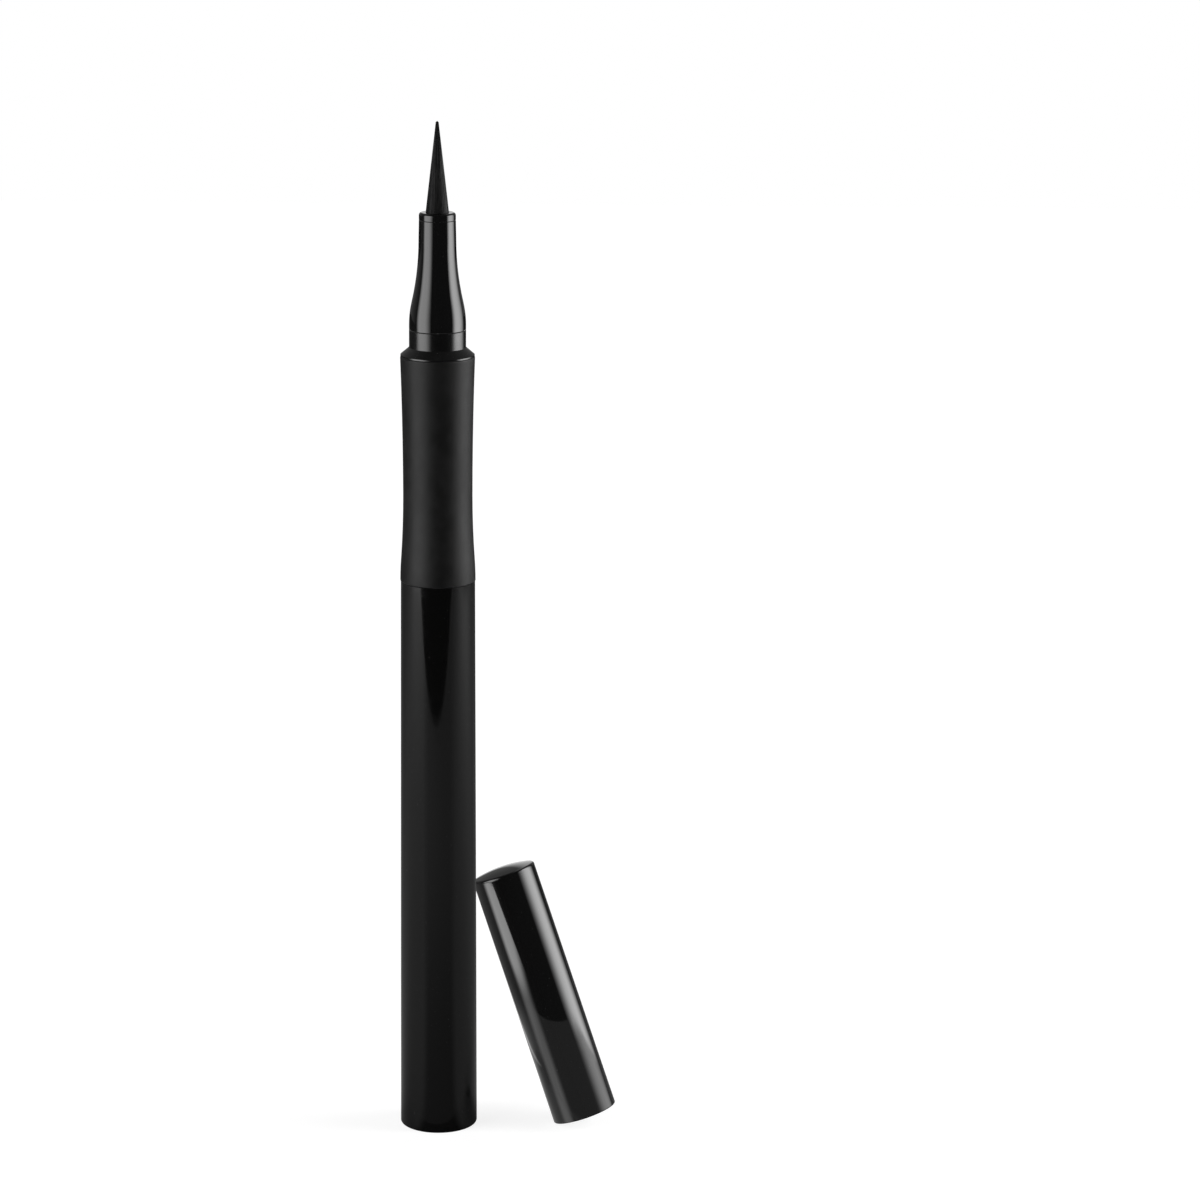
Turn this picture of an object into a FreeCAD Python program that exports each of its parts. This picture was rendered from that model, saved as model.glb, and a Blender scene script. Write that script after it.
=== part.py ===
import FreeCAD, Part
import math
import os
import re
import Sketcher

# Liquid eyeliner pen, standing on its foot with the cap leaning beside it.
# The origin is the centre of the foot, and +Z runs up the pen to the nib.
# Lengths are in millimetres and angles in degrees.
SIZES = {
    # Gaps between pieces, on the radius or end to end
    "press_gap": 0.02,
    "slide_gap": 0.1,
    "nib_gap": 0.06,
    "band_gap": 0.05,
    "seal_gap": 0.04,
    "end_gap": 0.1,
    "cut_overrun": 1.0,
    # Barrel
    "foot_radius": 5.21,
    "foot_edge": 0.25,
    "barrel_length": 76.3,
    "barrel_top_radius": 4.95,
    "barrel_top_edge": 0.08,
    "barrel_wall": 1.0,
    "bay_roof": 1.5,
    "spigot_wall": 0.55,
    # Grip sleeve
    "grip_length": 30.3,
    "grip_wall": 0.5,
    "grip_lip_step": 0.06,
    "grip_lip_edge": 0.08,
    "grip_waist_radius": 4.6,
    "grip_waist_rise": 11.6,
    "grip_bend_share": 0.25,
    "grip_top_radius": 4.94,
    "grip_top_edge": 0.25,
    # Front housing
    "housing_tail": 5.5,
    "housing_inset": 0.05,
    "housing_rim": 0.18,
    "cone_rise": 0.95,
    "band_radius": 3.75,
    "band_length": 2.35,
    "nose_foot_wall": 0.96,
    "nose_spigot_wall": 0.85,
    "nose_spigot_length": 3.0,
    "seam_edge": 0.07,
    # Nose cone
    "nose_length": 15.45,
    "nose_straight": 0.6,
    "nose_flare": 11.3,
    "nose_wall": 0.47,
    "nose_bend_share": 0.27,
    "nose_taper": 0.05,
    "nose_lip": 1.0,
    "nose_lip_groove": 0.05,
    "nose_mouth_edge": 0.35,
    # Nib and its holder
    "nib_radius": 1.5,
    "nib_rear_rise": 2.6,
    "nib_bare_shank": 0.25,
    "nib_point": 11.66,
    "nib_tip_radius": 0.2,
    "holder_wall": 0.46,
    "holder_rise": 1.45,
    "holder_length": 6.0,
    "vent_width": 0.5,
    "vent_depth": 0.25,
    "vent_count": 4,
    # Feed wick and collector
    "wick_radius": 0.8,
    "wick_recess": 0.5,
    "core_wall": 0.58,
    "collector_pipe": 2.0,
    "collector_flange": 1.5,
    "fin_thickness": 0.35,
    "fin_space": 0.65,
    "fin_count": 20,
    "ink_slot_width": 0.4,
    "ink_slot_depth": 0.2,
    # Ink tank, its plug and the ball
    "tank_wall": 0.6,
    "neck_wall": 0.45,
    "plug_flange": 0.8,
    "plug_depth": 4.0,
    "plug_bead": 0.7,
    "plug_groove": 0.15,
    "dish_radius": 2.6,
    "dish_floor_radius": 1.0,
    "dish_depth": 0.4,
    "ball_radius": 1.5,
    "ball_gap": 0.05,
    # Tail plug
    "tail_height": 3.2,
    "tail_floor": 1.0,
    "tail_wall": 1.0,
    "tail_edge": 0.12,
    # Cap and inner cap, along their own axis from the cap's mouth
    "cap_mouth_wall": 0.61,
    "cap_mouth_edge": 0.12,
    "cap_top_wall": 0.89,
    "cap_top_edge": 0.4,
    "cap_dome": 0.6,
    "cap_roof": 1.2,
    "cap_socket": 8.4,
    "inner_recess": 0.2,
    "inner_wall": 0.51,
    "inner_roof": 1.6,
    "nose_room": 0.9,
    "nib_room": 2.7,
    "nib_side_room": 0.7,
    # How the cap leans against the barrel
    "cap_lean": 20.4,
    "cap_bearing": 22.2,
    "cap_side": 25.0,
    "cap_clear": 0.1,
}

doc = FreeCAD.newDocument("EyelinerPen")
sheet = doc.addObject("Spreadsheet::Sheet", "Sizes")
for row, (name, value) in enumerate(SIZES.items(), start=1):
    sheet.set(f"A{row}", name)
    sheet.set(f"B{row}", str(value))
    sheet.setAlias(f"B{row}", name)
doc.recompute()


def bound(formula):
    """The formula with each size name pointing at the sheet."""
    return re.sub(r"[a-z]+(?:_[a-z]+)+", r"Sizes.\g<0>", formula)


def number(formula):
    """What the formula comes to now."""
    return float(sheet.evalExpression(bound(formula)))


# Heights on the pen, from the foot, as formulas
GRIP_TOP = "(barrel_length + grip_length)"
SEAM = f"({GRIP_TOP} + housing_rim + cone_rise + band_length)"
NIB_REAR = f"({SEAM} + nib_rear_rise)"
TAIL_BOTTOM = f"({GRIP_TOP} - housing_tail)"
TANK_REAR = "(tail_height + plug_flange)"
COMB = "(fin_count * (fin_thickness + fin_space) + fin_thickness)"
COLLECTOR_REAR = f"({TAIL_BOTTOM} - collector_flange - {COMB} - collector_pipe)"
WICK_REAR = f"({COLLECTOR_REAR} + wick_recess)"
BALL_FLOOR = f"({TANK_REAR} + plug_depth - dish_depth)"

# Heights in the nose, from the seam, as formulas
SOCKET_TOP = "(nose_spigot_length + end_gap)"
HOLDER_FOOT = f"({SOCKET_TOP} + holder_rise)"

# Radii that follow from the sizes and the walls, as formulas
BAY_RADIUS = "(barrel_top_radius - barrel_wall)"
SPIGOT_RADIUS = "(grip_waist_radius - grip_wall - press_gap)"
SPIGOT_BORE = f"({SPIGOT_RADIUS} - spigot_wall)"
LIP_RADIUS = "(barrel_top_radius + grip_lip_step)"
TANK_RADIUS = f"({BAY_RADIUS} - slide_gap)"
TANK_BORE = f"({TANK_RADIUS} - tank_wall)"
NECK_RADIUS = f"({SPIGOT_BORE} - slide_gap)"
NECK_BORE = f"({NECK_RADIUS} - neck_wall)"
CORE_RADIUS = "(wick_radius + press_gap + core_wall)"
NOSE_SOCKET = "(band_radius - nose_foot_wall)"
NOSE_SPIGOT = f"({NOSE_SOCKET} - press_gap)"
HOLDER_BAY = "(nib_radius + holder_wall + 2 * press_gap)"
NECK_OUTSIDE = f"({HOLDER_BAY} + nose_wall)"

# Heights and radii in the cap, from its mouth, with the pen inside it
NECK_IN_CAP = "(band_length + nose_straight + nose_flare)"
NOSE_IN_CAP = "(band_length + nose_length)"
NIB_IN_CAP = f"({NOSE_IN_CAP} + nib_bare_shank + nib_point)"
CAP_INSIDE = f"({NIB_IN_CAP} + nib_room + inner_roof)"
CAP_LENGTH = f"({CAP_INSIDE} + cap_roof)"
INNER_START = "(cap_socket + inner_recess)"
FLARE_LEFT = f"(({NECK_IN_CAP} - {INNER_START}) / nose_flare)"
FLARE_STEP = f"((band_radius - {NECK_OUTSIDE}) * {FLARE_LEFT} ^ 2 / (1 - nose_bend_share))"
SEAL_RADIUS = f"({NECK_OUTSIDE} + {FLARE_STEP} + seal_gap)"
CAP_SOCKET = "(band_radius + band_gap)"
CAP_MOUTH = f"({CAP_SOCKET} + cap_mouth_wall)"
CAP_BORE = f"({SEAL_RADIUS} + inner_wall + press_gap)"
CAP_TOP = f"({CAP_BORE} + cap_top_wall)"


def origin_part(body, role):
    """The body's own plane or axis with that role."""
    return next(part for part in body.Origin.OriginFeatures if part.Role == role)


def new_body(label, height="0"):
    """An empty body with its own origin at that height on the pen's axis."""
    body = doc.addObject("PartDesign::Body", label)
    body.Label = label
    if height != "0":
        body.setExpression("Placement.Base.z", bound(height))
    return body


def new_sketch(body, name, plane):
    sketch = body.newObject("Sketcher::SketchObject", name)
    sketch.AttachmentSupport = (origin_part(body, plane), [""])
    sketch.MapMode = "FlatFace"
    return sketch


def arc_between(start, end, centre):
    """The shorter arc round the centre, and whether it runs from start to end anticlockwise."""
    first = math.atan2(start.y - centre.y, start.x - centre.x)
    last = math.atan2(end.y - centre.y, end.x - centre.x)
    onward = (last - first) % math.tau < math.pi
    circle = Part.Circle(centre, FreeCAD.Vector(0, 0, 1), start.distanceToPoint(centre))
    angles = (first, last) if onward else (last, first)
    return Part.ArcOfCircle(circle, *angles), onward


def level_centre(at, other):
    """Centre, level with one end, of the arc that passes through both ends."""
    across = other.x - at.x
    reach = (across ** 2 + (other.y - at.y) ** 2) / across / 2
    return FreeCAD.Vector(at.x + reach, at.y, 0)


def axis_centre(start, end):
    """Centre on the turning axis of the arc that ends on that axis."""
    radius = (start.x ** 2 + (end.y - start.y) ** 2) / (end.y - start.y) / 2
    return FreeCAD.Vector(0, end.y - radius, 0)


def place(sketch, index, position, across, up):
    """Hold a point of the sketch at two formulas, or on an axis where a formula is zero."""
    for kind, axis, formula in (("DistanceX", -2, across), ("DistanceY", -1, up)):
        if formula == "0":
            sketch.addConstraint(Sketcher.Constraint("PointOnObject", index, position, axis))
            continue
        row = sketch.addConstraint(Sketcher.Constraint(kind, -1, 1, index, position, number(formula)))
        sketch.setExpression(f"Constraints[{row}]", bound(formula))


def draw_outline(sketch, corners):
    """A closed outline. A corner is across and up, then the bend to the next corner, if any:
    upright here, upright next, or round the axis."""
    points = [FreeCAD.Vector(number(corner[0]), number(corner[1]), 0) for corner in corners]
    ends = []
    for index, corner in enumerate(corners):
        start, end = points[index], points[(index + 1) % len(points)]
        bend = corner[2] if len(corner) > 2 else "straight"
        if bend == "straight":
            sketch.addGeometry(Part.LineSegment(start, end))
            ends.append((1, 2))
            continue
        centre = {
            "upright here": lambda: level_centre(start, end),
            "upright next": lambda: level_centre(end, start),
            "round axis": lambda: axis_centre(start, end),
        }[bend]()
        arc, onward = arc_between(start, end, centre)
        sketch.addGeometry(arc)
        ends.append((1, 2) if onward else (2, 1))
    for index, corner in enumerate(corners):
        after = (index + 1) % len(corners)
        first, last = ends[index]
        sketch.addConstraint(Sketcher.Constraint("Coincident", index, last, after, ends[after][0]))
        place(sketch, index, first, corner[0], corner[1])
        if len(corner) == 2:
            continue
        if corner[2] == "round axis":
            sketch.addConstraint(Sketcher.Constraint("PointOnObject", index, 3, -2))
        else:
            level = first if corner[2] == "upright here" else last
            sketch.addConstraint(Sketcher.Constraint("Horizontal", index, 3, index, level))


def turn(body, corners):
    """Turn an outline of radius and height about the body's upright axis."""
    sketch = new_sketch(body, body.Label + "_outline", "XZ_Plane")
    draw_outline(sketch, corners)
    feature = body.newObject("PartDesign::Revolution", body.Label + "_turn")
    feature.Profile = sketch
    feature.ReferenceAxis = (sketch, ["V_Axis"])
    feature.Angle = 360
    doc.recompute()


def turn_away(body, name, corners):
    """Cut a ring whose section is the outline."""
    before = body.Shape.Volume
    sketch = new_sketch(body, f"{body.Label}_{name}_outline", "XZ_Plane")
    draw_outline(sketch, corners)
    feature = body.newObject("PartDesign::Groove", f"{body.Label}_{name}")
    feature.Profile = sketch
    feature.ReferenceAxis = (sketch, ["V_Axis"])
    feature.Angle = 360
    doc.recompute()
    check_cut(body, before)
    return feature


def cut_slot(body, name, floor, outside, width, height):
    """Cut a slot along the body, from the floor radius out, up to that height."""
    before = body.Shape.Volume
    sketch = new_sketch(body, f"{body.Label}_{name}_outline", "XY_Plane")
    draw_outline(sketch, [
        (floor, f"-{width} / 2"),
        (f"{outside} + cut_overrun", f"-{width} / 2"),
        (f"{outside} + cut_overrun", f"{width} / 2"),
        (floor, f"{width} / 2"),
    ])
    feature = body.newObject("PartDesign::Pocket", f"{body.Label}_{name}")
    feature.Profile = sketch
    feature.Reversed = True
    feature.setExpression("Length", bound(height))
    doc.recompute()
    check_cut(body, before)
    return feature


def check_cut(body, before):
    if body.Shape.Volume >= before:
        raise RuntimeError(f"a cut in {body.Label} takes nothing away")


def ring_edge(shape, radius, height):
    """Name of the edge that is a circle of that radius at that height."""
    tolerance = 1e-4 * radius
    for index, edge in enumerate(shape.Edges, start=1):
        curve = edge.Curve
        if not isinstance(curve, Part.Circle):
            continue
        if abs(curve.Radius - radius) < tolerance and abs(curve.Center.z - height) < tolerance:
            return f"Edge{index}"
    raise RuntimeError(f"no round edge of radius {radius} at height {height}")


def soften(body, kind, size, *rings):
    """Fillet or chamfer the round edges at these radius and height formulas."""
    base = body.Tip
    names = [ring_edge(base.Shape, number(radius), number(height)) for radius, height in rings]
    feature = body.newObject(f"PartDesign::{kind}", f"{body.Label}_{size}")
    feature.Base = (base, names)
    feature.setExpression("Radius" if kind == "Fillet" else "Size", bound(size))
    doc.recompute()


def make_barrel():
    """Gloss tube with a bay for the tank and a spigot for the grip."""
    body = new_body("barrel")
    roof = "barrel_length - bay_roof"
    turn(body, [
        (BAY_RADIUS, "0"),
        ("foot_radius", "0"),
        ("barrel_top_radius", "barrel_length"),
        (SPIGOT_RADIUS, "barrel_length"),
        (SPIGOT_RADIUS, GRIP_TOP),
        (SPIGOT_BORE, GRIP_TOP),
        (SPIGOT_BORE, roof),
        (BAY_RADIUS, roof),
    ])
    soften(body, "Fillet", "foot_edge", ("foot_radius", "0"))
    soften(body, "Chamfer", "barrel_top_edge", ("barrel_top_radius", "barrel_length"))
    return body


def make_grip_sleeve():
    """Soft waisted sleeve on the spigot, flared to a lip at the barrel."""
    body = new_body("grip_sleeve", "barrel_length")
    bore = "grip_waist_radius - grip_wall"
    turn(body, [
        (bore, "0"),
        (LIP_RADIUS, "0", "upright here"),
        (f"{LIP_RADIUS} - grip_bend_share * ({LIP_RADIUS} - grip_waist_radius)",
         "grip_bend_share * grip_waist_rise", "upright next"),
        ("grip_waist_radius", "grip_waist_rise", "upright here"),
        ("grip_top_radius", "grip_length"),
        (bore, "grip_length"),
    ])
    soften(body, "Fillet", "grip_lip_edge", (LIP_RADIUS, "0"))
    soften(body, "Fillet", "grip_top_edge", ("grip_top_radius", "grip_length"))
    return body


def make_front_housing():
    """Shoulder cone, the band that carries the cap, and a spigot for the nose."""
    body = new_body("front_housing", TAIL_BOTTOM)
    rim_top = "housing_tail + housing_rim"
    band_foot = f"{rim_top} + cone_rise"
    seam = f"{band_foot} + band_length"
    tail = f"{SPIGOT_BORE} - press_gap"
    rim = "grip_top_radius - housing_inset"
    bore = f"{NOSE_SPIGOT} - nose_spigot_wall"
    turn(body, [
        (bore, "0"),
        (tail, "0"),
        (tail, "housing_tail"),
        (rim, "housing_tail"),
        (rim, rim_top),
        ("band_radius", band_foot),
        ("band_radius", seam),
        (NOSE_SPIGOT, seam),
        (NOSE_SPIGOT, f"{seam} + nose_spigot_length"),
        (bore, f"{seam} + nose_spigot_length"),
    ])
    soften(body, "Chamfer", "seam_edge", ("band_radius", seam))
    return body


def make_nose_cone():
    """Flared nose with a socket for the housing, a bay for the nib's holder and a small lip."""
    body = new_body("nose_cone", SEAM)
    land = f"{HOLDER_FOOT} + holder_length"
    groove = "nose_length - nose_lip"
    mouth = f"{NECK_OUTSIDE} - nose_taper"
    bore = "nib_radius + nib_gap"
    turn(body, [
        (NOSE_SOCKET, "0"),
        ("band_radius", "0"),
        ("band_radius", "nose_straight", "upright here"),
        (f"band_radius - nose_bend_share * (band_radius - {NECK_OUTSIDE})",
         "nose_straight + nose_bend_share * nose_flare", "upright next"),
        (NECK_OUTSIDE, "nose_straight + nose_flare"),
        (mouth, f"{groove} - nose_lip_groove"),
        (f"{mouth} - nose_lip_groove", groove),
        (mouth, f"{groove} + nose_lip_groove"),
        (mouth, "nose_length"),
        (bore, "nose_length"),
        (bore, land),
        (HOLDER_BAY, land),
        (HOLDER_BAY, SOCKET_TOP),
        (NOSE_SOCKET, SOCKET_TOP),
    ])
    soften(body, "Chamfer", "seam_edge", ("band_radius", "0"))
    soften(body, "Fillet", "nose_mouth_edge", (mouth, "nose_length"))
    return body


def make_nib():
    """Fibre nib with a straight shank and a long point."""
    body = new_body("nib", NIB_REAR)
    shank = "nose_length + nib_bare_shank - nib_rear_rise"
    top = f"{shank} + nib_point"
    turn(body, [
        ("0", "0"),
        ("nib_radius", "0"),
        ("nib_radius", shank),
        ("nib_tip_radius", f"{top} - nib_tip_radius", "round axis"),
        ("0", top),
    ])
    return body


def make_nib_holder():
    """Sleeve round the nib's shank, with air vents down its outside."""
    body = new_body("nib_holder", f"{SEAM} + {HOLDER_FOOT}")
    outside = f"{HOLDER_BAY} - press_gap"
    inside = "nib_radius + press_gap"
    turn(body, [
        (inside, "0"),
        (outside, "0"),
        (outside, "holder_length"),
        (inside, "holder_length"),
    ])
    vent = cut_slot(body, "vent", f"{outside} - vent_depth", outside, "vent_width",
                    "holder_length + cut_overrun")
    ring = body.newObject("PartDesign::PolarPattern", "nib_holder_vents")
    ring.Originals = [vent]
    ring.Axis = (origin_part(body, "Z_Axis"), [""])
    ring.Angle = 360
    ring.setExpression("Occurrences", bound("vent_count"))
    body.Tip = ring
    doc.recompute()
    return body


def make_feed_wick():
    """Fibre rod that draws ink from the tank to the nib's rear end."""
    body = new_body("feed_wick", WICK_REAR)
    length = f"{NIB_REAR} - {WICK_REAR}"
    turn(body, [
        ("0", "0"),
        ("wick_radius", "0"),
        ("wick_radius", length),
        ("0", length),
    ])
    return body


def make_collector():
    """Comb of fins round the wick, which holds back ink that the air in the tank pushes out."""
    body = new_body("collector", COLLECTOR_REAR)
    bore = "wick_radius + press_gap"
    comb_radius = f"{NECK_BORE} - slide_gap"
    flange_radius = f"{NECK_BORE} - press_gap"
    comb_top = f"collector_pipe + {COMB}"
    turn(body, [
        (bore, "0"),
        (CORE_RADIUS, "0"),
        (CORE_RADIUS, "collector_pipe"),
        (comb_radius, "collector_pipe"),
        (comb_radius, comb_top),
        (flange_radius, comb_top),
        (flange_radius, f"{comb_top} + collector_flange"),
        (bore, f"{comb_top} + collector_flange"),
    ])
    low = "collector_pipe + fin_thickness"
    space = turn_away(body, "space", [
        (CORE_RADIUS, low),
        (f"{comb_radius} + cut_overrun", low),
        (f"{comb_radius} + cut_overrun", f"{low} + fin_space"),
        (CORE_RADIUS, f"{low} + fin_space"),
    ])
    spaces = body.newObject("PartDesign::LinearPattern", "collector_spaces")
    spaces.Originals = [space]
    spaces.Direction = (origin_part(body, "Z_Axis"), [""])
    spaces.setExpression("Length", bound("(fin_count - 1) * (fin_thickness + fin_space)"))
    spaces.setExpression("Occurrences", bound("fin_count"))
    body.Tip = spaces
    doc.recompute()
    cut_slot(body, "ink_slot", f"{CORE_RADIUS} - ink_slot_depth", comb_radius, "ink_slot_width",
             comb_top)
    return body


def make_ink_tank():
    """Thin tube for the ink, with a neck that holds the collector inside the spigot."""
    body = new_body("ink_tank", TANK_REAR)
    shoulder = f"barrel_length - bay_roof - {TANK_REAR}"
    top = f"{TAIL_BOTTOM} - {TANK_REAR}"
    turn(body, [
        (TANK_BORE, "0"),
        (TANK_RADIUS, "0"),
        (TANK_RADIUS, shoulder),
        (NECK_RADIUS, shoulder),
        (NECK_RADIUS, top),
        (NECK_BORE, top),
        (NECK_BORE, f"{shoulder} - tank_wall"),
        (TANK_BORE, f"{shoulder} - tank_wall"),
    ])
    return body


def make_tank_plug():
    """Plug in the tank's rear end, with two sealing beads and a dish where the ball rests."""
    body = new_body("tank_plug", "tail_height")
    bead = f"{TANK_BORE} - press_gap"
    low = "plug_flange + plug_bead"
    top = "plug_flange + plug_depth"
    turn(body, [
        ("0", "0"),
        (TANK_RADIUS, "0"),
        (TANK_RADIUS, "plug_flange"),
        (bead, "plug_flange"),
        (bead, low),
        (f"{bead} - plug_groove", low),
        (f"{bead} - plug_groove", f"{top} - plug_bead"),
        (bead, f"{top} - plug_bead"),
        (bead, top),
        ("dish_radius", top),
        ("dish_floor_radius", f"{top} - dish_depth"),
        ("0", f"{top} - dish_depth"),
    ])
    return body


def make_mixing_ball():
    """Loose ball at rest in the plug's dish."""
    ball = doc.addObject("Part::Sphere", "mixing_ball")
    ball.Label = "mixing_ball"
    ball.setExpression("Radius", bound("ball_radius"))
    ball.setExpression("Placement.Base.z", bound(f"{BALL_FLOOR} + ball_gap + ball_radius"))
    return ball


def make_tail_plug():
    """Cup pressed flush into the foot, which holds the tank against the bay's roof."""
    body = new_body("tail_plug")
    outside = f"{BAY_RADIUS} - press_gap"
    turn(body, [
        ("0", "0"),
        (outside, "0"),
        (outside, "tail_height"),
        (f"{outside} - tail_wall", "tail_height"),
        (f"{outside} - tail_wall", "tail_floor"),
        ("0", "tail_floor"),
    ])
    soften(body, "Chamfer", "tail_edge", (outside, "0"))
    return body


def lean_on_barrel(body):
    """Stand the body's own floor on its low edge, with the cap's shoulder just clear of the barrel."""
    height = f"({CAP_LENGTH} * cos(cap_lean))"
    barrel = f"(foot_radius - (foot_radius - barrel_top_radius) * {height} / barrel_length)"
    out = f"({barrel} + cap_clear + {CAP_TOP})"
    reach = f"({CAP_LENGTH} * sin(cap_lean))"
    along = f"{out} * cos(cap_side) + {reach} * cos(cap_bearing)"
    aside = f"{out} * sin(cap_side) - {reach} * sin(cap_bearing)"
    up = f"{CAP_MOUTH} * sin(cap_lean)"
    hinge = "vector(-sin(cap_bearing); -cos(cap_bearing); 0)"
    place_formula = f"placement(vector({along}; {aside}; {up}); rotation({hinge}; cap_lean))"
    body.setExpression("Placement", bound(place_formula))
    doc.recompute()


def make_cap_shell():
    """Gloss cap with a low dome, a socket for the band and a bore for the inner cap."""
    body = new_body("cap_shell")
    turn(body, [
        (CAP_SOCKET, "0"),
        (CAP_MOUTH, "0"),
        (CAP_TOP, CAP_LENGTH, "round axis"),
        ("0", f"{CAP_LENGTH} + cap_dome"),
        ("0", CAP_INSIDE),
        (CAP_BORE, CAP_INSIDE),
        (CAP_BORE, "cap_socket"),
        (CAP_SOCKET, "cap_socket"),
    ])
    soften(body, "Fillet", "cap_top_edge", (CAP_TOP, CAP_LENGTH))
    soften(body, "Fillet", "cap_mouth_edge", (CAP_MOUTH, "0"), (CAP_SOCKET, "0"))
    lean_on_barrel(body)
    return body


def make_inner_cap():
    """Thimble pressed into the cap, whose lip seals round the nose."""
    body = new_body("inner_cap")
    outside = f"{CAP_BORE} - press_gap"
    tip_bore = "nib_radius + nib_side_room"
    roof = f"{CAP_INSIDE} - inner_roof"
    step = f"{NOSE_IN_CAP} + nose_room"
    turn(body, [
        (SEAL_RADIUS, INNER_START),
        (outside, INNER_START),
        (outside, CAP_INSIDE),
        ("0", CAP_INSIDE),
        ("0", roof),
        (tip_bore, roof),
        (tip_bore, step),
        (SEAL_RADIUS, step),
    ])
    lean_on_barrel(body)
    return body


pieces = [
    make_barrel(),
    make_tail_plug(),
    make_ink_tank(),
    make_tank_plug(),
    make_mixing_ball(),
    make_collector(),
    make_feed_wick(),
    make_grip_sleeve(),
    make_front_housing(),
    make_nose_cone(),
    make_nib_holder(),
    make_nib(),
    make_cap_shell(),
    make_inner_cap(),
]
doc.recompute()

for thing in doc.Objects:
    if "Invalid" in thing.State or "Error" in thing.State:
        raise RuntimeError(f"{thing.Label} failed: {thing.State}")
for piece in pieces:
    if piece.Shape.isNull() or not piece.Shape.isValid() or len(piece.Shape.Solids) != 1:
        raise RuntimeError(f"{piece.Label} is not one whole solid")

os.makedirs("parts", exist_ok=True)
for piece in pieces:
    piece.Shape.exportStep(f"parts/{piece.Label}.step")
    box = piece.Shape.BoundBox
    print(f"{piece.Label}: {piece.Shape.Volume:.1f} mm3, z {box.ZMin:.2f} to {box.ZMax:.2f}")
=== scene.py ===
import math
import random

import bpy
from mathutils import Matrix, Vector


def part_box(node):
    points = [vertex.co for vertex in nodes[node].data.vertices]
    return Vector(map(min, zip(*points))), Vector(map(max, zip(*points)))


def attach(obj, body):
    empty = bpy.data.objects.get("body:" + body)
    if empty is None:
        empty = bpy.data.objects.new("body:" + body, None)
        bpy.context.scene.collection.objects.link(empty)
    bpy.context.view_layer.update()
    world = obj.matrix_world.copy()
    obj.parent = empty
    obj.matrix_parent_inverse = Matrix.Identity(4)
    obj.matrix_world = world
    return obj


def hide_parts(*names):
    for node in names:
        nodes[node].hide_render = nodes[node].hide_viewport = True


# A black liquid eyeliner pen stands on its foot, nib up, and its cap leans beside it.
# Lengths are in metres. Bearings are counted from the front, -Y, towards +X.
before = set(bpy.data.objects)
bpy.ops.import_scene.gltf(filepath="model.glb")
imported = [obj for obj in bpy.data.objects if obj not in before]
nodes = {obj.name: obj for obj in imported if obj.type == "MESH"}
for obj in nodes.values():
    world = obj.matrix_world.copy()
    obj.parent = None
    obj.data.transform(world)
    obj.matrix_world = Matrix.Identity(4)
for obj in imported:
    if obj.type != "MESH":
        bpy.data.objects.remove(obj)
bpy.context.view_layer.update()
scene = bpy.context.scene
scene.view_settings.view_transform = "Standard"

MM = 0.001
DEGREE = math.radians(1)

# Camera, fitted to how much each round edge bulges in the photo
CAMERA_AIM = Vector((21.6, 0.0, 73.7)) * MM
CAMERA_DISTANCE = 546.7 * MM
CAMERA_PITCH = 13.5 * DEGREE
CAMERA_ROLL = 0.442 * DEGREE
CAMERA_LENS_MM = 123.0
CAMERA_SENSOR_MM = 36.0


def make_camera():
    """Camera that looks along +Y and down by its pitch, turned by a small roll."""
    forward = Vector((0, math.cos(CAMERA_PITCH), -math.sin(CAMERA_PITCH)))
    level = Vector((1, 0, 0))
    upward = level.cross(forward)
    right = level * math.cos(CAMERA_ROLL) + upward * math.sin(CAMERA_ROLL)
    up = upward * math.cos(CAMERA_ROLL) - level * math.sin(CAMERA_ROLL)
    data = bpy.data.cameras.new("camera")
    data.lens = CAMERA_LENS_MM
    data.sensor_width = CAMERA_SENSOR_MM
    camera = bpy.data.objects.new("camera", data)
    turn = Matrix((right, up, -forward)).transposed().to_4x4()
    camera.matrix_world = Matrix.Translation(CAMERA_AIM - forward * CAMERA_DISTANCE) @ turn
    scene.collection.objects.link(camera)
    scene.camera = camera


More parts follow.
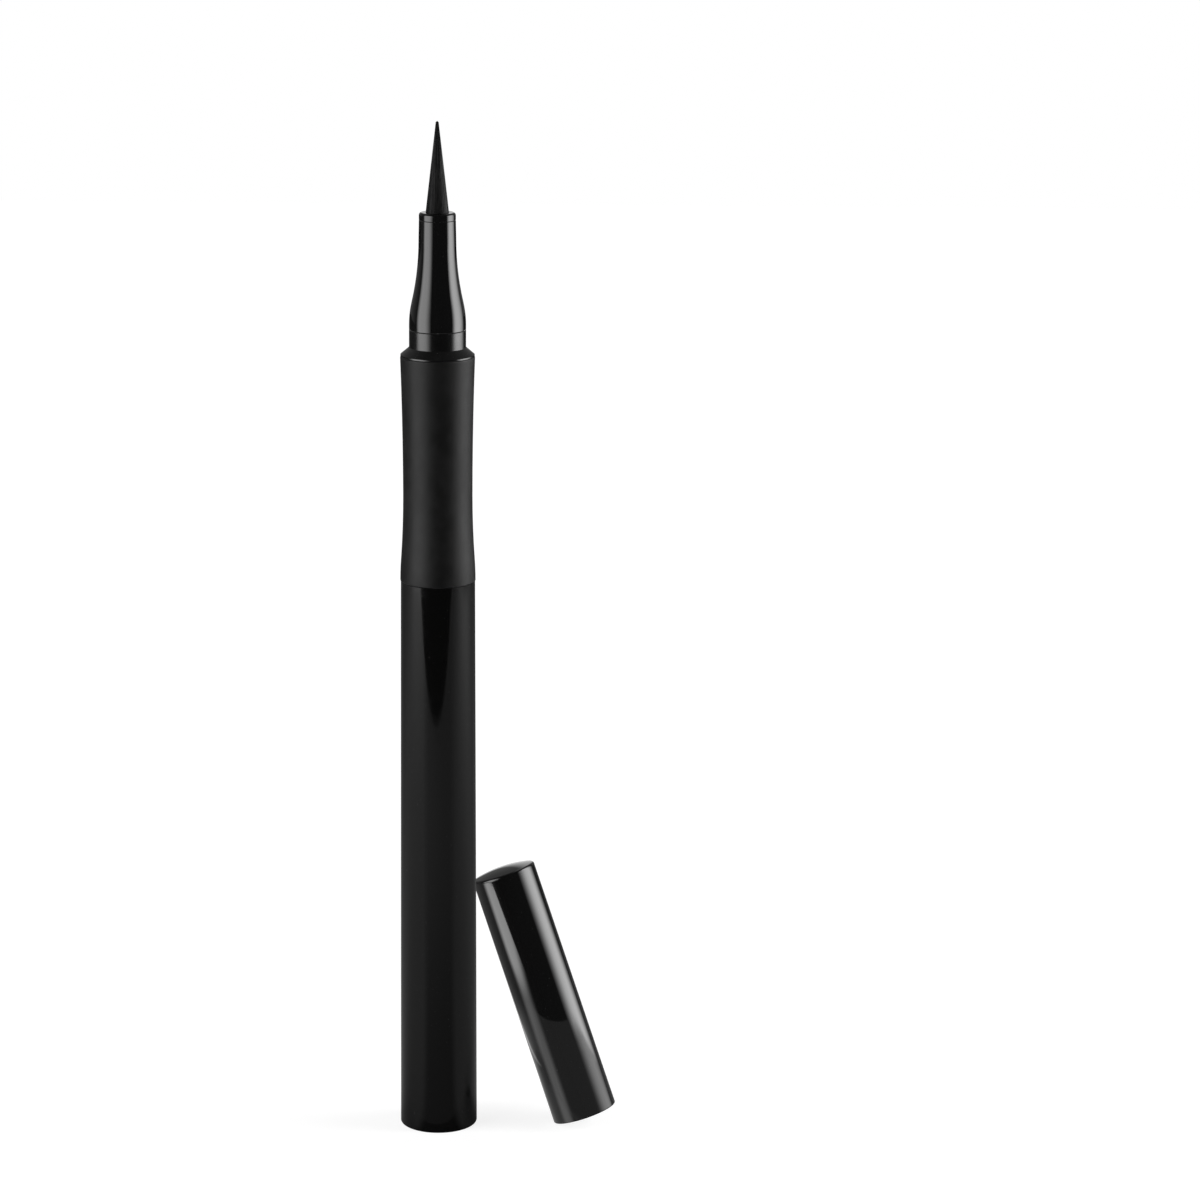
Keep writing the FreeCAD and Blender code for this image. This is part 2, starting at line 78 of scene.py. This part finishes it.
class Nodes:
    """Short ways to add and link shader nodes in one tree."""

    def __init__(self, tree):
        self.tree = tree
        tree.nodes.clear()

    def add(self, kind, **settings):
        node = self.tree.nodes.new(kind)
        for name, value in settings.items():
            setattr(node, name, value)
        return node

    def put(self, socket, value):
        """Set a socket to a plain value, or link it to another socket."""
        if isinstance(value, bpy.types.NodeSocket):
            self.tree.links.new(value, socket)
        elif value is not None:
            socket.default_value = value

    def math(self, operation, first, second=None, clamp=False):
        node = self.add("ShaderNodeMath", operation=operation, use_clamp=clamp)
        for socket, value in zip(node.inputs, (first, second)):
            self.put(socket, value)
        return node.outputs[0]

    def ramp(self, value, spread, levels=(0.0, 1.0)):
        """Map the two ends of the spread to the two levels, eased at both ends."""
        node = self.add("ShaderNodeMapRange", interpolation_type="SMOOTHSTEP")
        names = ("Value", "From Min", "From Max", "To Min", "To Max")
        for name, given in zip(names, (value, *spread, *levels)):
            self.put(node.inputs[name], given)
        return node.outputs["Result"]

    def split(self, vector):
        node = self.add("ShaderNodeSeparateXYZ")
        self.put(node.inputs[0], vector)
        return node.outputs

    def sum_of_squares(self, first, second):
        return self.math("ADD", self.math("POWER", first, 2.0), self.math("POWER", second, 2.0))

    def place(self):
        """The shaded point in the scene."""
        return self.add("ShaderNodeNewGeometry").outputs["Position"]

    def polar(self, start=(0.0, 0.0)):
        """The shaded point's bearing and level distance from the start, and its coordinates."""
        place = self.split(self.place())
        right = self.math("SUBTRACT", place["X"], start[0])
        forward = self.math("SUBTRACT", start[1], place["Y"])
        reach = self.math("SQRT", self.sum_of_squares(right, forward))
        return self.math("ARCTAN2", right, forward), reach, place

    def mix_colour(self, share, first, second):
        """Mix two colours. The node's sockets go by index, because their names repeat."""
        node = self.add("ShaderNodeMix", data_type="RGBA")
        for index, value in ((0, share), (6, first), (7, second)):
            self.put(node.inputs[index], value)
        return node.outputs[2]

    def stretched(self, stretch=(1, 1, 1)):
        """Object coordinates, scaled differently along each axis."""
        mapping = self.add("ShaderNodeMapping")
        self.put(mapping.inputs["Vector"], self.add("ShaderNodeTexCoord").outputs["Object"])
        self.put(mapping.inputs["Scale"], stretch)
        return mapping.outputs["Vector"]

    def noise(self, where, scale, detail=2.0, roughness=0.5):
        node = self.add("ShaderNodeTexNoise")
        names = ("Vector", "Scale", "Detail", "Roughness")
        for name, value in zip(names, (where, scale, detail, roughness)):
            self.put(node.inputs[name], value)
        return node.outputs["Fac"]

    def bump(self, height, distance, under=None):
        node = self.add("ShaderNodeBump")
        for name, value in (("Height", height), ("Distance", distance), ("Normal", under)):
            self.put(node.inputs[name], value)
        return node.outputs["Normal"]

    def glow(self):
        """A white glow, and the socket of its strength."""
        node = self.add("ShaderNodeEmission")
        return node.outputs[0], node.inputs["Strength"]

    def principled(self, **sockets):
        """Cover the surface with a Principled shader that has these sockets."""
        node = self.add("ShaderNodeBsdfPrincipled")
        for name, value in sockets.items():
            self.put(node.inputs[name.replace("_", " ")], value)
        self.finish_surface(node.outputs[0])

    def finish_surface(self, shader):
        self.put(self.add("ShaderNodeOutputMaterial").inputs["Surface"], shader)


def new_material(name):
    material = bpy.data.materials.new(name)
    material.use_nodes = True
    return material, Nodes(material.node_tree)


def grey(value):
    return (value, value, value, 1)


# Finishes. Noise scales count patches per metre, and tones are linear.
PLASTIC_IOR = 1.5
GLOSS_TONE = 0.0025
HAIRLINE_ROUGH = 0.05
DUST_TONE = 0.06
DUST_COVER = 0.35
DUST_ROUGH = 0.25


def gloss_black(name, smooth, dull):
    """Glossy black moulding: slow ripples in the skin, faint hairlines and a little dust."""
    material, n = new_material(name)
    even = n.stretched()
    ripple = n.noise(n.stretched((1, 1, 0.12)), scale=260.0, detail=1.0)
    haze = n.noise(even, scale=700.0, detail=4.0, roughness=0.6)
    hairline = n.ramp(n.noise(n.stretched((1, 1, 0.02)), scale=9000.0), spread=(0.68, 0.78))
    dust = n.ramp(n.noise(even, scale=5200.0, detail=1.0), spread=(0.74, 0.8))
    colour = n.mix_colour(n.math("MULTIPLY", dust, DUST_COVER), grey(GLOSS_TONE), grey(DUST_TONE))
    rough = n.ramp(haze, spread=(0.3, 0.7), levels=(smooth, dull))
    rough = n.math("ADD", rough, n.math("MULTIPLY", hairline, HAIRLINE_ROUGH))
    rough = n.math("ADD", rough, n.math("MULTIPLY", dust, DUST_ROUGH))
    skin = n.bump(ripple, distance=0.006 * MM)
    skin = n.bump(hairline, distance=-0.0004 * MM, under=skin)
    n.principled(Base_Color=colour, Roughness=rough, IOR=PLASTIC_IOR, Normal=skin)
    return material


SOFT_TONES = (0.0025, 0.005)
SOFT_IOR = 1.33


def soft_touch():
    """Matte elastomer skin: a fine pebble, slow mottling and faint rub marks round the pen."""
    material, n = new_material("soft_touch")
    even = n.stretched()
    pebble = n.noise(even, scale=11000.0, detail=3.0, roughness=0.65)
    mottle = n.noise(even, scale=420.0, detail=3.0)
    rub = n.noise(n.stretched((0.3, 0.3, 3.0)), scale=900.0)
    colour = n.mix_colour(n.ramp(mottle, spread=(0.35, 0.65)), *map(grey, SOFT_TONES))
    rough = n.ramp(mottle, spread=(0.3, 0.7), levels=(0.44, 0.52))
    rough = n.math("SUBTRACT", rough, n.ramp(rub, spread=(0.55, 0.8), levels=(0.0, 0.06)))
    skin = n.bump(mottle, distance=0.012 * MM)
    skin = n.bump(pebble, distance=0.006 * MM, under=skin)
    n.principled(Base_Color=colour, Roughness=rough, IOR=SOFT_IOR, Normal=skin,
                 Sheen_Weight=0.02, Sheen_Roughness=0.5)
    return material


SATIN_COLOURS = ((0.66, 0.67, 0.65, 1), (0.76, 0.77, 0.76, 1))


def satin_plastic():
    """Uncoloured polymer: milky, slightly clouded, with a satin skin."""
    material, n = new_material("satin_plastic")
    even = n.stretched()
    cloud = n.noise(even, scale=300.0, detail=3.0)
    grain = n.noise(even, scale=6000.0, detail=3.0)
    colour = n.mix_colour(cloud, *SATIN_COLOURS)
    rough = n.ramp(grain, spread=(0.3, 0.7), levels=(0.38, 0.5))
    skin = n.bump(grain, distance=0.003 * MM)
    n.principled(Base_Color=colour, Roughness=rough, IOR=PLASTIC_IOR, Normal=skin)
    return material


STEEL_COLOURS = ((0.56, 0.56, 0.57, 1), (0.66, 0.66, 0.67, 1))


def ball_steel():
    """Polished ball with very fine random grinding marks."""
    material, n = new_material("ball_steel")
    marks = n.noise(n.stretched(), scale=9000.0, detail=4.0, roughness=0.7)
    colour = n.mix_colour(marks, *STEEL_COLOURS)
    rough = n.ramp(marks, spread=(0.3, 0.7), levels=(0.1, 0.2))
    skin = n.bump(marks, distance=0.0008 * MM)
    n.principled(Base_Color=colour, Metallic=1.0, Roughness=rough, Normal=skin)
    return material


FIBRE_IOR = 1.2
FIBRE_WET_ROUGH = 0.08


def inked_fibre(name, tones, rough):
    """Bonded fibre with ink in it: fine strands along the rod, wetter and drier in places."""
    material, n = new_material(name)
    strands = n.noise(n.stretched((1, 1, 0.03)), scale=6500.0, detail=3.0, roughness=0.6)
    wet = n.noise(n.stretched((1, 1, 0.4)), scale=700.0)
    colour = n.mix_colour(n.ramp(strands, spread=(0.35, 0.7)), *map(grey, tones))
    levels = (rough - FIBRE_WET_ROUGH, rough + FIBRE_WET_ROUGH)
    sheen = n.ramp(wet, spread=(0.35, 0.65), levels=levels)
    skin = n.bump(strands, distance=0.02 * MM)
    n.principled(Base_Color=colour, Roughness=sheen, IOR=FIBRE_IOR, Normal=skin)
    return material


def dress_nodes():
    """A procedural material on every CAD node that stays. The photo's pen and cap were lit
    separately, so neither shows in the other's gloss."""
    finishes = {
        gloss_black("gloss_black", smooth=0.045, dull=0.075):
            ("barrel", "tail_plug", "nose_cone", "cap_shell"),
        gloss_black("housing_black", smooth=0.18, dull=0.23): ("front_housing",),
        soft_touch(): ("grip_sleeve",),
        satin_plastic(): ("ink_tank", "tank_plug", "collector", "nib_holder", "inner_cap"),
        ball_steel(): ("mixing_ball",),
        inked_fibre("wick_fibre", tones=(0.012, 0.05), rough=0.6): ("feed_wick",),
    }
    for material, names in finishes.items():
        for name in names:
            mesh = nodes[name].data
            mesh.materials.clear()
            mesh.materials.append(material)
            nodes[name].visible_glossy = False


# Nib: a bundle of bonded fibres, ground to a long point
NIB_POINT = 11.66 * MM
NIB_TIP_RADIUS = 0.2 * MM
NIB_TIP_FLAT = 0.01 * MM
NIB_RINGS = 150
NIB_STRANDS = 46
STRAND_SIDES = 6
STRAND_SEED = 11
STRAND_SWAY = 0.35
STRAND_SWAY_WAVE = 9
FLUTE_DEPTH = 0.045 * MM
FLUTE_DEPTH_SHARES = (0.35, 1.0)
FLUTE_FADE_SHARE = 0.3


def nib_radius(z, low, high):
    """The nib's radius at that height, before its flutes."""
    shank = (high.x - low.x) / 2
    shank_top = high.z - NIB_POINT
    dome_foot = high.z - NIB_TIP_RADIUS
    if z > dome_foot:
        return math.sqrt(max(NIB_TIP_RADIUS ** 2 - (z - dome_foot) ** 2, 0)) + NIB_TIP_FLAT
    along = max((z - shank_top) / (dome_foot - shank_top), 0)
    return shank + (NIB_TIP_RADIUS - shank) * along


def make_nib():
    """Fluted rod and point with a strand for each flute, inside the node that it replaces."""
    low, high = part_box("nib")
    centre = (low + high) / 2
    shank = (high.x - low.x) / 2
    sides = NIB_STRANDS * STRAND_SIDES
    chance = random.Random(STRAND_SEED)
    phase = [chance.uniform(0, math.tau) for _ in range(NIB_STRANDS)]
    depth = [chance.uniform(*FLUTE_DEPTH_SHARES) for _ in range(NIB_STRANDS)]
    points, faces = [], []
    for ring in range(NIB_RINGS + 1):
        share = ring / NIB_RINGS
        z = low.z + (high.z - low.z) * share
        radius = nib_radius(z, low, high)
        fade = min(1.0, radius / (shank * FLUTE_FADE_SHARE))
        for side in range(sides):
            strand, place = divmod(side, STRAND_SIDES)
            crown = math.sin(math.pi * place / STRAND_SIDES)
            sway = STRAND_SWAY * math.sin(share * STRAND_SWAY_WAVE + phase[strand]) * (math.tau / NIB_STRANDS)
            angle = math.tau * side / sides + sway * crown
            reach = radius - FLUTE_DEPTH * depth[strand] * (1 - crown) * fade
            points.append((centre.x + reach * math.cos(angle), centre.y + reach * math.sin(angle), z))
    for ring in range(NIB_RINGS):
        for side in range(sides):
            a = ring * sides + side
            b = ring * sides + (side + 1) % sides
            faces.append((a, b, b + sides, a + sides))
    faces.append(tuple(reversed(range(sides))))
    faces.append(tuple(range(NIB_RINGS * sides, (NIB_RINGS + 1) * sides)))
    mesh = bpy.data.meshes.new("nib_fibres")
    mesh.from_pydata(points, [], faces)
    mesh.validate()
    mesh.shade_smooth()
    nib = bpy.data.objects.new("nib_fibres", mesh)
    scene.collection.objects.link(nib)
    mesh.materials.append(inked_fibre("nib_fibre", tones=(0.001, 0.005), rough=0.4))
    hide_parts("nib")
    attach(nib, "pen")


# White background, which gloss sees only where it looks almost straight back
BACKGROUND_COSINES = (0.985, 0.998)
ABOVE_ZERO = 1e-9


def background_rays(n, direction):
    """One for camera rays, and for mirrored and transmitted rays where the direction points away
    behind the object."""
    way = n.split(direction)
    length = n.math("SQRT", n.math("ADD", n.sum_of_squares(way["X"], way["Y"]), ABOVE_ZERO))
    behind = n.ramp(n.math("DIVIDE", way["Y"], length), BACKGROUND_COSINES)
    rays = n.add("ShaderNodeLightPath").outputs
    shown = n.math("ADD", rays["Is Glossy Ray"], rays["Is Transmission Ray"], clamp=True)
    return n.math("ADD", rays["Is Camera Ray"], n.math("MULTIPLY", shown, behind), clamp=True)


# Floor: the table top, whose tones and front edge show in the gloss. Its grey carries painted shade: lighter
# on the left than the right, darker behind the pen and darkest in front.
FLOOR_REACH = 900 * MM
FLOOR_FRONT = 221 * MM
FLOOR_FRONT_BEARING = -4 * DEGREE
FLOOR_MIDDLE_REACH = 60 * MM
SIDE_SHARES = (-0.5, 0.5)
# Painted shade: the floor's grey is lighter on the left than on the right
SIDE_WHITES_WITH_PAINTED_SHADE = (0.41, 0.3)
BACK_SHARES = (0.1, 0.6)
# Painted shade: share of the floor's grey taken away behind the pen
BACK_PAINTED_SHADE_LOSSES = (0.0, 0.42)
FRONT_MIDDLE = 5 * DEGREE
FRONT_HALF_WIDTHS = (30 * DEGREE, 52 * DEGREE)
# Painted shade: share of the floor's grey taken away in front of the pen
FRONT_PAINTED_SHADE_LOSS = 0.8
FRONT_GLOSS_REACHES = (10 * MM, 160 * MM)
FRONT_GLOSS_LOSSES = (0.58, 0.15)
FILL_REACHES = (60 * MM, 260 * MM)
FILL_NEAR = 0.99
FILL_NEAR_LOSS = 0.49


def floor_tones(n):
    """At the shaded point: its distance from the pen, the floor's white by side, with painted shade on the
    right, and the shares of it that the floor loses to painted shade behind the pen and in front, and that
    the pen's gloss loses in front."""
    bearing, reach, place = n.polar()
    wide = n.math("ADD", reach, FLOOR_MIDDLE_REACH)
    white = n.ramp(n.math("DIVIDE", place["X"], wide), SIDE_SHARES, SIDE_WHITES_WITH_PAINTED_SHADE)
    behind = n.ramp(n.math("DIVIDE", place["Y"], wide), BACK_SHARES, BACK_PAINTED_SHADE_LOSSES)
    aside = n.math("ABSOLUTE", n.math("SUBTRACT", bearing, FRONT_MIDDLE))
    front = n.ramp(aside, FRONT_HALF_WIDTHS, (1.0, 0.0))
    dark = n.math("MULTIPLY", front, FRONT_PAINTED_SHADE_LOSS)
    shade = n.math("MULTIPLY", front, n.ramp(reach, FRONT_GLOSS_REACHES, FRONT_GLOSS_LOSSES))
    return reach, white, behind, dark, shade


def make_floor():
    """Grey floor with painted shade, darkest in front, with a glow that fills it up to white for the camera,
    so that only the object's shadow shows."""
    mesh = bpy.data.meshes.new("floor")
    middle = -FLOOR_FRONT / math.cos(FLOOR_FRONT_BEARING)
    slant = FLOOR_REACH * math.tan(FLOOR_FRONT_BEARING)
    corners = [(-FLOOR_REACH, middle - slant, 0), (FLOOR_REACH, middle + slant, 0),
               (FLOOR_REACH, FLOOR_REACH, 0), (-FLOOR_REACH, FLOOR_REACH, 0)]
    mesh.from_pydata(corners, [], [(0, 1, 2, 3)])
    floor = bpy.data.objects.new("floor", mesh)
    scene.collection.objects.link(floor)
    material, n = new_material("floor_painted_shade_with_fill")
    reach, white, behind, dark, _ = floor_tones(n)
    # Painted shade: the floor's grey loses a share in front of the pen and behind it
    white = n.math("MULTIPLY", white, n.math("SUBTRACT", 1.0, n.math("ADD", dark, behind)))
    near = n.math("SUBTRACT", FILL_NEAR, n.math("MULTIPLY", white, FILL_NEAR_LOSS))
    fill = n.ramp(reach, FILL_REACHES, (near, 1.0))
    glow, strength = n.glow()
    n.put(strength, n.math("MULTIPLY", fill, background_rays(n, n.place())))
    matt = n.add("ShaderNodeBsdfDiffuse")
    n.put(matt.inputs["Color"], white)
    both = n.add("ShaderNodeAddShader")
    n.put(both.inputs[0], glow)
    n.put(both.inputs[1], matt.outputs[0])
    n.finish_surface(both.outputs[0])
    mesh.materials.append(material)


def around(bearing, distance=1.0, height=0.0):
    """A point at that bearing and distance from the pen's axis."""
    return Vector((distance * math.sin(bearing), -distance * math.cos(bearing), height))


# Tall soft light on each side of the object
SOFTBOX_DISTANCE = 430 * MM
SOFTBOX_TOP = 353 * MM
SOFTBOX_TOP_SHARES = (0.85, 1.0)
SOFTBOX_TOP_LEVELS = (1.0, 0.2)


def make_softbox(name, front, back, bottom, level, front_fade, back_fade):
    """Upright glowing panel between two bearings, hidden from the camera. It fades out over a share
    of its width at each end, and it is dimmer near its top."""
    mesh = bpy.data.meshes.new(name)
    corners = [around(front, SOFTBOX_DISTANCE, bottom), around(back, SOFTBOX_DISTANCE, bottom),
               around(back, SOFTBOX_DISTANCE, SOFTBOX_TOP), around(front, SOFTBOX_DISTANCE, SOFTBOX_TOP)]
    mesh.from_pydata(corners, [], [(0, 1, 2, 3)])
    layer = mesh.uv_layers.new(name="panel")
    for loop, at in zip(layer.data, ((0, 0), (1, 0), (1, 1), (0, 1))):
        loop.uv = at
    panel = bpy.data.objects.new(name, mesh)
    scene.collection.objects.link(panel)
    panel.visible_camera = False
    material, n = new_material(name + "_glow")
    at = n.split(n.add("ShaderNodeTexCoord").outputs["UV"])
    tone = n.ramp(at["X"], (0.0, front_fade), (0.0, level))
    tone = n.math("MULTIPLY", tone, n.ramp(at["X"], (1.0 - back_fade, 1.0), (1.0, 0.0)))
    tone = n.math("MULTIPLY", tone, n.ramp(at["Y"], SOFTBOX_TOP_SHARES, SOFTBOX_TOP_LEVELS))
    glow, strength = n.glow()
    n.put(strength, tone)
    n.finish_surface(glow)
    mesh.materials.append(material)
    return panel


def link_to_cap(light, state):
    """INCLUDE lights the cap's shell alone, and EXCLUDE lights everything but the shell."""
    group = bpy.data.collections.new(light.name + "_link")
    group.objects.link(nodes["cap_shell"])
    group.collection_objects[0].light_linking.link_state = state
    light.light_linking.receiver_collection = group


# Lamps. The photo's cap was lit by itself, so three of them light its shell alone, and one lights
# everything but its shell.
LAMP_WATTS_PER_SQUARE_METRE = 4.0
ABOVE_FLOOR = 0.3 * MM


def make_lamp(name, state, centre, facing, upward, size):
    """Panel linked to the cap's shell as the state says, with the nodes of its glow and the socket of
    its strength."""
    width, height = size
    data = bpy.data.lights.new(name, "AREA")
    data.shape = "RECTANGLE"
    data.size, data.size_y = width, height
    data.energy = LAMP_WATTS_PER_SQUARE_METRE * width * height
    data.use_nodes = True
    lamp = bpy.data.objects.new(name, data)
    away, up = -Vector(facing), Vector(upward)
    turn = Matrix((up.cross(away), up, away)).transposed().to_4x4()
    lamp.matrix_world = Matrix.Translation(Vector(centre)) @ turn
    lamp.visible_camera = False
    scene.collection.objects.link(lamp)
    link_to_cap(lamp, state)
    n = Nodes(data.node_tree)
    glow, strength = n.glow()
    n.put(n.add("ShaderNodeOutputLight").inputs["Surface"], glow)
    return n, strength


# Strip down the cap's left side. A point further out on the floor shows higher on the cap, so its
# height there is its distance times a slope.
STRIP_CENTRE = (-25 * MM, -30 * MM, ABOVE_FLOOR)
STRIP_SIZE = (90 * MM, 100 * MM)
STRIP_START = (20.2 * MM, -4.0 * MM)
STRIP_SLOPE_BEARINGS = (-80 * DEGREE, -20 * DEGREE)
STRIP_SLOPES = (0.41, 0.22)
STRIP_LEVEL_HEIGHTS = (18 * MM, 24.5 * MM)
STRIP_LEVELS = (1.3, 4.2)
STRIP_LEFT_BEARINGS = (-92 * DEGREE, -72 * DEGREE)
STRIP_BESIDE_HEIGHTS = (11.5 * MM, 18 * MM)
STRIP_BESIDE_SHARES = (0.22, 0.0)
STRIP_RIGHT_BEARINGS = (-52 * DEGREE, -26 * DEGREE)
STRIP_TURN_HEIGHTS = (19 * MM, 32 * MM)
STRIP_TURNS = (-11 * DEGREE, 3 * DEGREE)


def light_cap_left():
    """Panel on the floor, brighter and wider where it shows high on the cap. Where it shows low, a
    share of its light goes on past its left edge."""
    n, strength = make_lamp("cap_strip_light", "INCLUDE", STRIP_CENTRE, (0, 0, 1), (0, 1, 0), STRIP_SIZE)
    bearing, reach, _ = n.polar(STRIP_START)
    height = n.math("MULTIPLY", reach, n.ramp(bearing, STRIP_SLOPE_BEARINGS, STRIP_SLOPES))
    level = n.ramp(height, STRIP_LEVEL_HEIGHTS, STRIP_LEVELS)
    beside = n.ramp(height, STRIP_BESIDE_HEIGHTS, STRIP_BESIDE_SHARES)
    level = n.math("MULTIPLY", level, n.ramp(bearing, STRIP_LEFT_BEARINGS, (beside, 1.0)))
    turned = n.math("SUBTRACT", bearing, n.ramp(height, STRIP_TURN_HEIGHTS, STRIP_TURNS))
    n.put(strength, n.math("MULTIPLY", level, n.ramp(turned, STRIP_RIGHT_BEARINGS, (1.0, 0.0))))


CAP_FRONT_CENTRE = (18 * MM, -11 * MM, 7.9 * MM)
CAP_FRONT_UPWARD = (-0.2, 0, 0.98)
CAP_FRONT_SIZE = (26 * MM, 15.2 * MM)
CAP_FRONT_LEVEL = 0.18


def light_cap_front():
    """Low dim panel close in front of the cap, which greys the lower part of its dark middle."""
    n, strength = make_lamp("cap_front_light", "INCLUDE", CAP_FRONT_CENTRE, (0, 1, 0), CAP_FRONT_UPWARD,
                            CAP_FRONT_SIZE)
    n.put(strength, CAP_FRONT_LEVEL)


# Wall of light for the broad strip down the cap's right side. It is dimmer below a line whose slope
# goes by bearing.
WALL_START = (15 * MM, 2 * MM)
WALL_BEARING = 94 * DEGREE
WALL_DISTANCE = 200 * MM
WALL_MIDDLE_HEIGHT = 138 * MM
WALL_SIZE = (340 * MM, 280 * MM)
WALL_SLOPE_BEARINGS = (75 * DEGREE, 165 * DEGREE)
WALL_SLOPES = (0.174, -0.17)
WALL_LEVEL_HEIGHTS = (10.5 * MM, 14 * MM)
WALL_LEVELS = (2.75, 6.2)
WALL_FRONT_BEARINGS = (50 * DEGREE, 90 * DEGREE)
WALL_BACK_BEARINGS = (98 * DEGREE, 134 * DEGREE)


def light_cap_right():
    """Upright panel, brighter above its line and faded out at both ends."""
    side = around(WALL_BEARING)
    centre = Vector((*WALL_START, WALL_MIDDLE_HEIGHT)) + side * WALL_DISTANCE
    n, strength = make_lamp("cap_wall_light", "INCLUDE", centre, -side, (0, 0, 1), WALL_SIZE)
    bearing, reach, place = n.polar(WALL_START)
    line = n.math("MULTIPLY", reach, n.ramp(bearing, WALL_SLOPE_BEARINGS, WALL_SLOPES))
    level = n.ramp(n.math("SUBTRACT", place["Z"], line), WALL_LEVEL_HEIGHTS, WALL_LEVELS)
    level = n.math("MULTIPLY", level, n.ramp(bearing, WALL_FRONT_BEARINGS))
    n.put(strength, n.math("MULTIPLY", level, n.ramp(bearing, WALL_BACK_BEARINGS, (1.0, 0.0))))


FRONT_SIZE = (560 * MM, 213 * MM)
FRONT_LEVEL = 0.62


def light_front():
    """Dim panel on the floor, up to its front edge. The photo's pen shows the table in front and its cap
    doesn't, so the floor has painted shade in front and this panel gives the pen what is missing."""
    back = -around(FLOOR_FRONT_BEARING)
    centre = back * (FRONT_SIZE[1] / 2 - FLOOR_FRONT) + Vector((0, 0, ABOVE_FLOOR))
    n, strength = make_lamp("front_light", "EXCLUDE", centre, (0, 0, 1), back, FRONT_SIZE)
    _, white, _, dark, shade = floor_tones(n)
    level = n.math("MULTIPLY", white, n.math("SUBTRACT", dark, shade))
    n.put(strength, n.math("MULTIPLY", level, FRONT_LEVEL))


# Room, whose brightness goes by how far a direction points up and back
ROOM_LOW = 0.015
ROOM_FRONT = 0.06
ROOM_BACK = 0.2
ROOM_LOW_SPREAD = (-0.22, -0.16)
ROOM_BACK_SPREAD = (-0.1, 0.5)


def make_world():
    """White for the camera. Gloss sees white behind the object and a dim room elsewhere."""
    world = bpy.data.worlds.new("room")
    scene.world = world
    world.use_nodes = True
    n = Nodes(world.node_tree)
    direction = n.add("ShaderNodeTexCoord").outputs["Generated"]
    way = n.split(direction)
    front = n.ramp(way["Z"], ROOM_LOW_SPREAD, (ROOM_LOW, ROOM_FRONT))
    room = n.ramp(way["Y"], ROOM_BACK_SPREAD, (front, ROOM_BACK))
    background = n.add("ShaderNodeBackground")
    n.put(background.inputs["Color"], grey(1.0))
    n.put(background.inputs["Strength"], n.math("MAXIMUM", room, background_rays(n, direction)))
    n.put(n.add("ShaderNodeOutputWorld").inputs["Surface"], background.outputs[0])


make_camera()
dress_nodes()
make_nib()
make_floor()
make_softbox("soft_light_left", front=-22 * DEGREE, back=-94 * DEGREE, bottom=2 * MM, level=4.7,
             front_fade=0.45, back_fade=0.3)
right_light = make_softbox("soft_light_right", front=62 * DEGREE, back=135 * DEGREE, bottom=25 * MM,
                           level=7.4, front_fade=0.32, back_fade=0.65)
link_to_cap(right_light, "EXCLUDE")
light_cap_left()
light_cap_front()
light_cap_right()
light_front()
make_world()
